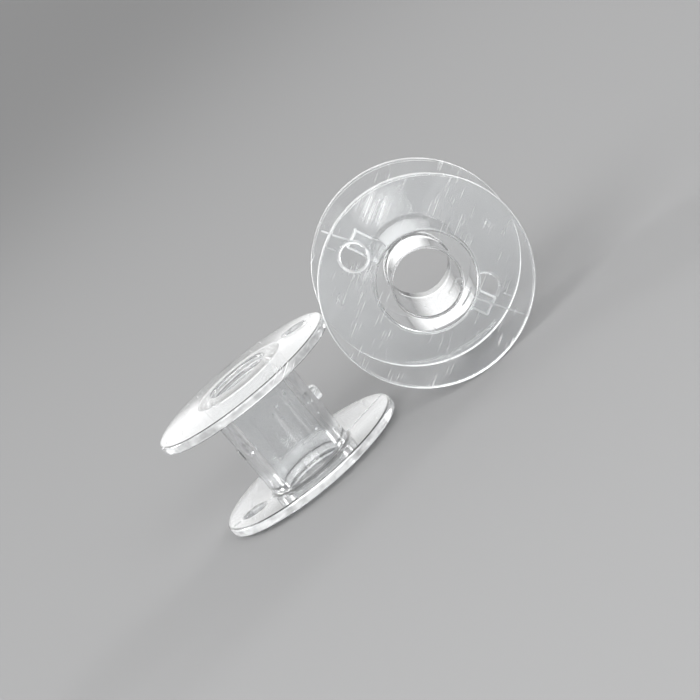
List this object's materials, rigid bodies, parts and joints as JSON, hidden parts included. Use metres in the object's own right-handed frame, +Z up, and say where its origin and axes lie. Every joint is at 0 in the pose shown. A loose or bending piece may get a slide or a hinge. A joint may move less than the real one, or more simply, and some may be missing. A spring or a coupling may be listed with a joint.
{
  "type": "pair of sewing machine bobbins",
  "caption": "Pair of empty clear plastic sewing machine bobbins, one standing and one lying, with domed flanges, through bore, thread holes and gate stubs.",
  "frame": {"origin": "on the surface the bobbins rest on, at the bottom centre of the pair's bounding box", "axes": "+X to the viewer's right, from the standing bobbin to the lying one; +Y away from the viewer, along the lying bobbin's bore; +Z up, along the standing bobbin's bore"},
  "size_m": [0.041, 0.0218, 0.0205],
  "materials": {
    "clear_plastic": "clear, polished, lightly scratched"
  },
  "bodies": {
    "standing": {"standing_bobbin": "clear_plastic"},
    "lying": {"lying_bobbin": "clear_plastic"}
  },
  "joints": [
    {"name": "lying_spin", "type": "hinge", "parent": "standing", "child": "lying", "pos_m": [0.01027, -0.00458, 0.01025], "axis": [0, -1, 0], "continuous": true}
  ]
}
